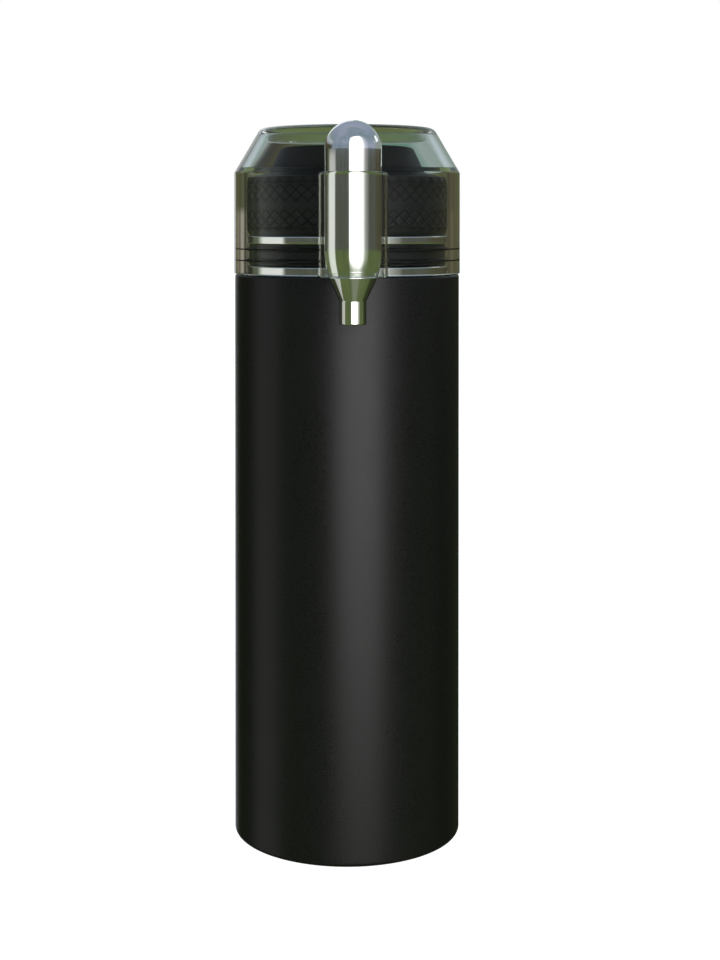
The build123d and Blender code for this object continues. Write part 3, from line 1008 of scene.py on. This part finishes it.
    def build(self, nodes: dict[str, bpy.types.Object]) -> None:
        """Places the lid's outer pieces and dresses its core and valves.

        Args:
            nodes: the CAD nodes by name.
        """
        core_radius = span("lid_core")[1][0]
        place(self.grip(), "lid", GRIP_PLASTIC, "grip_plastic", "grip_ring")
        place(self.crown(), "lid", CROWN_PLASTIC, "crown_plastic", "crown")
        trim = self.ring("trim_ring_bright", "trim_ring", core_radius, 0.35)
        place(trim, "lid", TRIM_STEEL, "polished_steel", "trim_ring")
        place(self.collar(), "lid", COLLAR_RUBBER, "collar_silicone", "cap_collar")
        dress_nodes(nodes, {
            "lid_core": CORE_PLASTIC, "lid_liner": LINER_PLASTIC, "lid_gasket": GASKET_RUBBER,
            "liner_screws": SPRING_STEEL, "inlet_body": TURNED_BRASS, "inlet_seal": GASKET_RUBBER,
            "piercing_pin": SPRING_STEEL, "inlet_gasket": GASKET_RUBBER, "spring_retainer": TURNED_BRASS,
            "inlet_poppet": VALVE_PLASTIC, "inlet_spring": SPRING_STEEL, "relief_body": TURNED_BRASS,
            "relief_plunger": VALVE_PLASTIC, "relief_spring": SPRING_STEEL, "relief_cap": TURNED_BRASS,
        })


# ---------------------------------------------------------------- the clear cap


@dataclass
class ClearCap:
    """The thick clear over-cap with the cartridge's sleeve in the same moulding."""

    wall: float = 4.0
    chamfer_foot: float = 228.5
    top_radius: float = 30.2
    sleeve_radius: float = 11.35
    sleeve_bore: float = 10.4
    sleeve_top: float = 227.5
    lip_radius: float = 8.12
    lip_height: float = 0.5
    beyond: float = 2.0

    def solids(self) -> dict[str, bpy.types.Object]:
        """The four turned shapes that the moulding is made from, by name."""
        low, high = span("clear_cap")
        cartridge_low, cartridge_high = span("cartridge_shell")
        radius, bottom, top = high[0], low[2], high[2]
        axis = (0.0, float(cartridge_low[1] + cartridge_high[1]) / 2)
        bore = radius - self.wall
        slope = (radius - self.top_radius) / (top - self.chamfer_foot - 0.7)
        roof, inner_foot = top - self.wall + 0.3, self.chamfer_foot + 0.3
        inner_top = bore - slope * (roof - inner_foot)
        below, above, lip_top = bottom - self.beyond, top + 2 * self.beyond, bottom + self.lip_height
        outside = rounded([
            Corner(0, bottom), Corner(radius, bottom, 0.35), Corner(radius, self.chamfer_foot, 0.8),
            Corner(self.top_radius, top, 3.0), Corner(0, top),
        ], closed=False, steps=12)
        hollow = rounded([
            Corner(0, below), Corner(bore, below, 0.1), Corner(bore, inner_foot, 0.5),
            Corner(inner_top, roof, 0.5), Corner(0, roof),
        ], closed=False, steps=12)
        sleeve = rounded([
            Corner(0, bottom), Corner(self.sleeve_radius, bottom, 0.8),
            Corner(self.sleeve_radius, self.sleeve_top, 1.2), Corner(0, self.sleeve_top),
        ], closed=False, steps=10)
        passage = rounded([
            Corner(0, below), Corner(self.lip_radius, below, 0.1), Corner(self.lip_radius, lip_top, 0.1),
            Corner(self.sleeve_bore, lip_top + 0.15, 0.1), Corner(self.sleeve_bore, above, 0.1),
            Corner(0, above),
        ], closed=False, steps=8)
        return {
            "outside": turned("clear_cap_moulding", outside, 320),
            "sleeve": turned("sleeve", sleeve, 160, axis),
            "hollow": turned("hollow", hollow, 320),
            "passage": turned("passage", passage, 160, axis),
        }

    def build(self) -> None:
        """Joins the sleeve to the cap, cuts both hollows, and places the result."""
        parts = self.solids()
        cap = parts.pop("outside")
        for name, part in parts.items():
            cut = cap.modifiers.new(name, "BOOLEAN")
            cut.object, cut.operation, cut.solver = part, "DIFFERENCE", "EXACT"
        cap.modifiers["sleeve"].operation = "UNION"
        evaluated = cap.evaluated_get(bpy.context.evaluated_depsgraph_get())
        mesh = bpy.data.meshes.new_from_object(evaluated)
        cap.modifiers.clear()
        cap.data = mesh
        mesh.polygons.foreach_set("use_smooth", np.ones(len(mesh.polygons), bool))
        mesh.set_sharp_from_angle(angle=math.radians(28))
        for part in parts.values():
            bpy.data.objects.remove(part)
        place(cap, "cap", CLEAR_COPOLYESTER, "clear_plastic", "clear_cap")


# ---------------------------------------------------------------- the gas cartridge


@dataclass
class Cartridge:
    """The drawn steel gas cartridge, neck down."""

    shoulder_length: float = 9.2
    cone_radius: float = 7.8
    cone_length: float = 7.4
    neck_radius: float = 4.3
    neck_length: float = 7.6
    shoulder_bulge: float = 0.36
    mouth_radius: float = 2.6

    def build(self, nodes: dict[str, bpy.types.Object]) -> None:
        """Places the cartridge and dresses its seal.

        Args:
            nodes: the CAD nodes by name.
        """
        low, high = span("cartridge_shell")
        radius = float(high[0])
        axis = (0.0, float(low[1] + high[1]) / 2)
        bottom, top = float(low[2]), float(high[2])
        neck_top = bottom + self.neck_length
        cone_top = neck_top + self.cone_length
        shoulder_top = cone_top + self.shoulder_length
        dome_foot = top - radius
        rim = rounded([
            Corner(0, bottom + 0.5), Corner(self.mouth_radius, bottom + 0.5, 0.15),
            Corner(self.mouth_radius, bottom, 0.3),
            Corner(self.neck_radius, bottom, 0.5), Corner(self.neck_radius, neck_top, 0.9),
            Corner(self.cone_radius, cone_top, 0.0001),
        ], closed=False)[:-1]
        shoulder = arc_between((self.cone_radius, cone_top), (radius, shoulder_top), self.shoulder_bulge, 16)
        heights = (shoulder_top, shoulder_top + 0.5, dome_foot - 0.4, dome_foot - 0.05)
        wall = np.array([(radius, height) for height in heights])
        rise = np.linspace(0, math.pi / 2, 33)
        dome = np.stack([radius * np.cos(rise), dome_foot + radius * np.sin(rise)], 1)
        dome[-1, 0] = 0.0
        piece = turned("gas_cartridge", np.concatenate([rim, shoulder, wall, dome]), 192, axis)
        place(piece, "cartridge", CARTRIDGE_STEEL, "cartridge_steel", "cartridge_shell")
        dress(nodes["cartridge_seal"], BASE_STEEL)


# ---------------------------------------------------------------- the studio


# The garden's colours from the left (0) to the right (1), low behind the flask and then above that, the
# hedges and trees with how high they stand, and the sky's from the horizon (0) to overhead (1).
VERGE: Stops = (
    (0.0, "#6a6e5c"), (0.075, "#646a56"), (0.095, "#20201b"), (0.165, "#24231c"), (0.195, "#a39e90"),
    (0.235, "#a8a294"), (0.28, "#584f40"), (0.32, "#8a8172"), (0.4, "#6c6a54"), (0.5, "#667058"),
    (0.62, "#6a6a4e"), (0.7, "#524e3a"), (0.77, "#56523c"), (0.81, "#6c6650"), (0.885, "#33312a"),
    (0.92, "#54503f"),
)
BORDER: Stops = (
    (0.0, "#707866"), (0.075, "#6c7360"), (0.095, "#22221d"), (0.165, "#303226"), (0.2, "#5e624c"),
    (0.27, "#45462e"), (0.36, "#5d5444"), (0.44, "#5e6446"), (0.52, "#6a7652"), (0.6, "#66704c"),
    (0.68, "#4c4836"), (0.73, "#5a5742"), (0.77, "#4c4836"), (0.82, "#5c5646"), (0.885, "#33312a"),
    (0.92, "#54503f"),
)
TREES: Stops = (
    (0.0, "#4a4c38"), (0.26, "#4c4436"), (0.3, "#1d1a17"), (0.4, "#1d1a16"), (0.43, "#3c3626"),
    (0.46, "#4e4c36"), (0.485, "#566048"), (0.52, "#64806f"), (0.58, "#67857a"), (0.61, "#9aa8a4"),
    (0.8, "#98a29c"),
)
TREE_TOPS: Stops = ((0.0, 0.17), (0.4, 0.17), (0.44, 0.32), (0.58, 0.32), (0.62, 0.235))
SKY: Stops = (
    (0.0, "#80705f"), (0.22, "#80705f"), (0.25, "#9aa5a8"), (0.3, "#b0bcc0"), (0.37, "#b4c2c4"),
    (0.42, "#7e9688"), (0.5, "#8795a0"), (0.7, "#8e9cb4"), (1.0, "#a3abbf"),
)
# The front light's and the left light's brightness across and up their faces, as shares of their radiance.
FRONT_ACROSS: Stops = (
    (0.0, 0.0), (0.08, 0.0), (0.13, 0.4), (0.32, 1.0), (0.56, 1.0), (0.68, 0.3), (0.78, 0.08), (0.92, 0.035),
    (1.0, 0.0),
)
FRONT_UP: Stops = (
    (0.0, 0.03), (0.3, 0.03), (0.38, 0.12), (0.425, 0.3), (0.49, 1.0), (0.84, 1.0), (1.0, 0.2),
)
LEFT_ACROSS: Stops = ((0.0, 0.0), (0.12, 0.45), (0.22, 0.95), (0.86, 1.0), (0.95, 0.2), (1.0, 0.03))


@dataclass
class Studio:
    """The camera, a pale floor, a garden that the clear and bright pieces show, and the soft lights."""

    camera_distance: float = 582.0
    camera_height: float = 211.0
    camera_azimuth: float = -2.29
    camera_pitch: float = -0.573
    lens: float = 83.3
    shift_across: float = 0.018056
    shift_up: float = -0.333333
    light_distance_m: float = 1.3
    shade: float = 0.3

    def camera(self) -> None:
        """The camera, level with the lid, with the lens shifted so that the flask's walls stay upright."""
        data = bpy.data.cameras.new("camera")
        data.sensor_fit, data.sensor_width, data.lens = "HORIZONTAL", 36.0, self.lens
        data.shift_x, data.shift_y = self.shift_across, self.shift_up
        data.clip_start, data.clip_end = 0.05, 50.0
        camera = bpy.data.objects.new("camera", data)
        bpy.context.scene.collection.objects.link(camera)
        azimuth = math.radians(self.camera_azimuth)
        camera.location = (
            self.camera_distance * math.sin(azimuth) * MM,
            -self.camera_distance * math.cos(azimuth) * MM,
            self.camera_height * MM,
        )
        camera.rotation_euler = (math.radians(90 + self.camera_pitch), 0.0, azimuth)
        bpy.context.scene.camera = camera

    def softbox(
        self,
        name: str,
        azimuth: float,
        size_m: tuple[float, float],
        radiance: float,
        height_m: float,
        across: Stops = ((0.0, 1.0),),
        upward: Stops = ((0.0, 1.0),),
        colour: str = "#ffffff",
    ) -> bpy.types.Object:
        """A rectangular soft light that faces the flask's axis.

        Its brightness at a point is radiance times one share read across its width and one up its height.

        Args:
            name: the light's name.
            azimuth: its direction from the flask, in degrees, 0 towards the front and positive to the right.
            size_m: its width and height.
            radiance: how bright its face is, where 1 shows white.
            height_m: its middle's height.
            across: places from 0 at its left edge, seen from the flask, to 1, with the share at each.
            upward: places from 0 at its bottom edge to 1, with the share at each.
            colour: its colour.

        Returns:
            The light.
        """
        data = bpy.data.lights.new(name, "AREA")
        data.shape, (data.size, data.size_y) = "RECTANGLE", size_m
        data.energy = radiance * math.pi * size_m[0] * size_m[1]
        data.color = linear(colour)[:3]
        data.use_nodes = True
        tree = data.node_tree
        tree.nodes.clear()
        face = add_node(tree, "SeparateXYZ", {0: add_node(tree, "NewGeometry").outputs["Parametric"]})
        shares = [stepped(tree, face.outputs[axis], stops) for axis, stops in (("X", across), ("Y", upward))]
        glow = add_node(tree, "Emission", {"Strength": reckon(tree, "MULTIPLY", *shares)})
        add_node(tree, "OutputLight", {0: glow.outputs[0]})
        lamp = bpy.data.objects.new(name, data)
        bpy.context.scene.collection.objects.link(lamp)
        a = math.radians(azimuth)
        lamp.location = (self.light_distance_m * math.sin(a), -self.light_distance_m * math.cos(a), height_m)
        lamp.rotation_euler = (math.radians(90), 0.0, a)
        lamp.visible_camera = False
        return lamp

    @staticmethod
    def flag(lamp: bpy.types.Object, piece: str) -> None:
        """Keeps a light off one piece, as a black card beside it would.

        Args:
            lamp: the light.
            piece: the name of the piece in shade.
        """
        shaded = bpy.data.collections.new(f"{lamp.name}_shade")
        lamp.light_linking.receiver_collection = shaded
        shaded.objects.link(bpy.data.objects[piece])
        shaded.collection_objects[0].light_linking.link_state = "EXCLUDE"

    def world(self) -> None:
        """White to the camera, and to everything else a garden: mown ground, hedges and a pale clouded sky.

        The ground behind is in shade except through the clear cap, and the sky overhead only through it.
        """
        world = bpy.data.worlds.new("garden")
        bpy.context.scene.world = world
        world.use_nodes = True
        tree = world.node_tree
        tree.nodes.clear()
        direction = add_node(tree, "TexCoord").outputs["Generated"]
        parts = add_node(tree, "SeparateXYZ", {0: direction})
        up = parts.outputs["Z"]
        side, rear = ranged(tree, parts.outputs["X"], -1.0, 1.0), ranged(tree, parts.outputs["Y"], 0.0, 0.2)
        upright = add_node(tree, "VectorMath", {0: direction, 1: (1.0, 1.0, 0.1)}, operation="MULTIPLY")
        stems, shrubs, clouds = (
            add_node(tree, "TexNoise", {"Vector": where, "Scale": scale, "Detail": detail}).outputs["Fac"]
            for where, scale, detail in (
                (upright.outputs[0], 9.0, 4.0), (direction, 3.2, 3.0), (direction, 1.7, 2.0),
            )
        )
        path = blend(tree, vary(tree, stems, 0.0, 1.0), "#4f534a", "#62625a")
        verge, border = stepped(tree, side, VERGE), stepped(tree, side, BORDER)
        verge = blend(tree, ranged(tree, up, 0.005, 0.01), verge, border)
        verge = blend(tree, vary(tree, stems, 0.0, 0.25), verge, "#4c4f38")
        lawn = blend(tree, vary(tree, shrubs, 0.0, 1.0), "#596340", "#68774a")
        ground = blend(tree, ranged(tree, up, -0.03, -0.045), blend(tree, rear, path, verge), lawn)
        sky = blend(tree, vary(tree, clouds, 0.0, 0.3), stepped(tree, up, SKY), "#b9c0cc")
        haze = blend(tree, vary(tree, clouds, 0.0, 1.0), "#7c919c", "#a3abbf")
        line = reckon(tree, "ADD", stepped(tree, side, TREE_TOPS), vary(tree, shrubs, -0.02, 0.02))
        open_sky = ranged(tree, reckon(tree, "SUBTRACT", up, line), 0.0, 0.05)
        far = blend(tree, rear, haze, blend(tree, open_sky, stepped(tree, side, TREES), sky))
        colour = blend(tree, ranged(tree, up, 0.045, 0.055), ground, far)
        ray = add_node(tree, "LightPath").outputs
        to_camera, through = ray["Is Camera Ray"], ray["Is Transmission Ray"]
        behind = reckon(tree, "MULTIPLY", ranged(tree, up, 0.04, -0.02), rear)
        behind = reckon(tree, "MULTIPLY", reckon(tree, "SUBTRACT", 1.0, through), behind)
        overhead = reckon(tree, "MULTIPLY", ranged(tree, up, 0.45, 0.6), through)
        strength = add_node(tree, "MapRange", {"Value": reckon(tree, "ADD", behind, overhead),
                                               "To Min": 1.0, "To Max": self.shade})
        garden = add_node(tree, "Background", {"Color": colour, "Strength": strength.outputs["Result"]})
        white = add_node(tree, "Background", {"Color": (1.0, 1.0, 1.0, 1.0), "Strength": 1.0})
        seen = add_node(tree, "MixShader", {0: to_camera, 1: garden.outputs[0], 2: white.outputs[0]})
        add_node(tree, "OutputWorld", {"Surface": seen.outputs[0]})

    def floor(self) -> None:
        """A pale floor that shows the flask's soft shadow and isn't mirrored in its steel."""
        side = 40000.0
        corners = np.array([[-side, -side, 0], [side, -side, 0], [side, side, 0], [-side, side, 0]], float)
        floor = make_object("floor", corners, [np.array([[0, 1, 2, 3]])])
        material = bpy.data.materials.new("pale_floor")
        material.use_nodes = True
        tree = material.node_tree
        tree.nodes.clear()
        paper = add_node(tree, "BsdfDiffuse", {"Color": linear("#aaaaaa")})
        glow = add_node(tree, "Emission", {"Color": (1.0, 1.0, 1.0, 1.0), "Strength": 0.92})
        both = add_node(tree, "AddShader", {0: paper.outputs[0], 1: glow.outputs[0]})
        add_node(tree, "OutputMaterial", {"Surface": both.outputs[0]})
        floor.data.materials.append(material)
        floor.visible_diffuse = floor.visible_glossy = floor.visible_transmission = False
        floor.visible_shadow = False

    def build(self) -> None:
        """Sets up the camera, the surroundings, the floor and the lights.

        The left light is two, one for bare pieces and one for what is seen through the clear cap, so that the
        cap itself doesn't mirror it.
        """
        self.camera()
        self.world()
        self.floor()
        self.softbox("front_softbox", 18.0, (2.3, 3.65), 3.85, -0.07, FRONT_ACROSS, FRONT_UP)
        bare, through_cap = (
            self.softbox(f"left_softbox_{reach}", -92.0, (1.0, 1.1), radiance, -0.26, LEFT_ACROSS)
            for reach, radiance in (("bare", 0.5), ("through_cap", 0.8))
        )
        bare.visible_transmission = False
        self.flag(bare, "clear_cap_moulding")
        through_cap.visible_diffuse = through_cap.visible_glossy = False
        self.softbox("side_window", 118.0, (0.3, 0.32), 1.4, 0.8, colour="#f8faff")
        back = self.softbox("back_softbox", 190.0, (0.6, 2.2), 0.7, 0.0, colour="#f4f6ff")
        back.visible_transmission = False
        scene = bpy.context.scene
        scene.cycles.max_bounces = scene.cycles.transmission_bounces = scene.cycles.glossy_bounces = 24
        scene.view_settings.view_transform = "Standard"


def main() -> None:
    """Loads the frame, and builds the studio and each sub-assembly."""
    logging.basicConfig(level=logging.INFO, format="%(message)s")
    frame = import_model()
    nodes = frame["nodes"]
    Bottle().build(nodes)
    ScrewLid().build(nodes)
    Cartridge().build(nodes)
    ClearCap().build()
    Studio().build()


if __name__ == "__main__":
    main()
